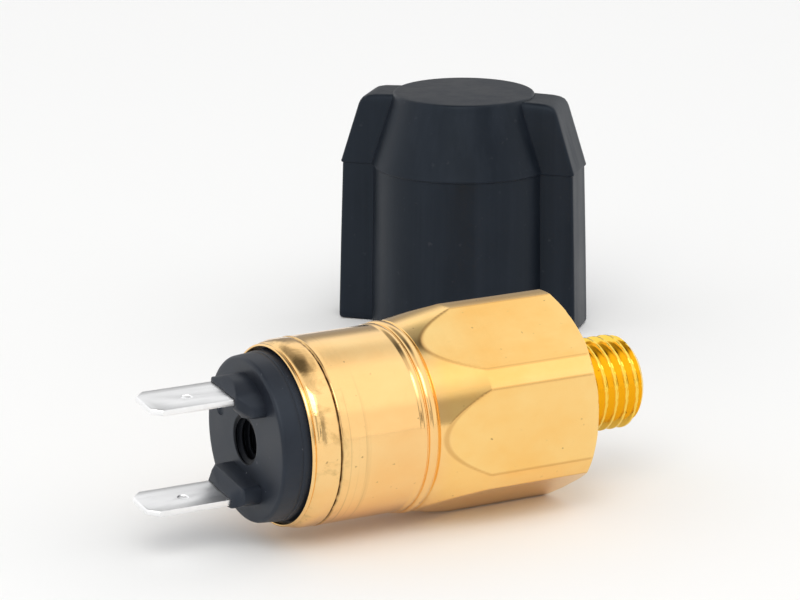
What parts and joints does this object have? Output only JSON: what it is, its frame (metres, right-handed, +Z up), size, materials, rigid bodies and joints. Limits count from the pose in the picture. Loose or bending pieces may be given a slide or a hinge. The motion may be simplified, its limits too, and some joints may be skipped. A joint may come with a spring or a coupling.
{
  "type": "pressure switch",
  "caption": "Diaphragm pressure switch: hexagonal brass body with threaded port stud and blade terminals, lying in front of its pull-off rubber cap.",
  "frame": {"origin": "centre of the footprint of the switch and its cap, on the surface they rest on", "axes": "+X along the switch's axis towards its port thread, +Z up, +Y from the switch towards the cap behind it"},
  "size_m": [0.1038, 0.1042, 0.0345],
  "materials": {
    "polished_brass": "turned and polished, with fine turning lines on the can",
    "black_plastic": "moulded, fine matt grain",
    "natural_plastic": "natural moulded nylon",
    "tinned_brass": "bright tin plate on brass strip",
    "contact_silver": "silver rivet",
    "zinc_steel": "zinc-plated steel",
    "spring_steel": "drawn spring wire",
    "rubber": "moulded, satin"
  },
  "bodies": {
    "switch_body": {"hex_housing": "polished_brass", "terminal_base": "black_plastic", "terminal_blade_upper": "tinned_brass", "terminal_blade_lower": "tinned_brass", "fixed_contact_upper": "contact_silver", "fixed_contact_lower": "contact_silver", "diaphragm": "rubber", "diaphragm_support_ring": "zinc_steel", "spacer_sleeve": "natural_plastic", "base_gasket": "rubber", "main_spring": "spring_steel"},
    "plunger": {"contact_carrier": "natural_plastic", "piston": "zinc_steel", "contact_bridge": "tinned_brass", "bridge_washer": "zinc_steel", "moving_contact_upper": "contact_silver", "moving_contact_lower": "contact_silver"},
    "spring_seat": {"spring_plate": "zinc_steel"},
    "set_screw": {"adjusting_screw": "zinc_steel"},
    "cap": {"protective_cap": "rubber"}
  },
  "joints": [
    {"name": "plunger_travel", "type": "slide", "parent": "switch_body", "child": "plunger", "axis": [-1, 0, 0], "range_m": [0, 0.00075], "stiffness_N_per_m": 2600, "springref_m": -0.0063, "deforming": ["main_spring", "diaphragm"]},
    {"name": "spring_plate_slide", "type": "slide", "parent": "switch_body", "child": "spring_seat", "axis": [1, 0, 0], "range_m": [-0.001, 0.0015], "deforming": ["main_spring"]},
    {"name": "adjust_screw_turn", "type": "hinge", "parent": "spring_seat", "child": "set_screw", "pos_m": [-0.03173, -0.04013, 0.01317], "axis": [1, 0, 0], "range_deg": [-361, 541]},
    {"name": "cap_lift", "type": "slide", "parent": "switch_body", "child": "cap", "axis": [0, 0, 1], "range_m": [0, 0.06]}
  ],
  "couplings": [
    {"joint": "adjust_screw_turn", "follows": "spring_plate_slide", "rad_per_m": 6283.2}
  ]
}
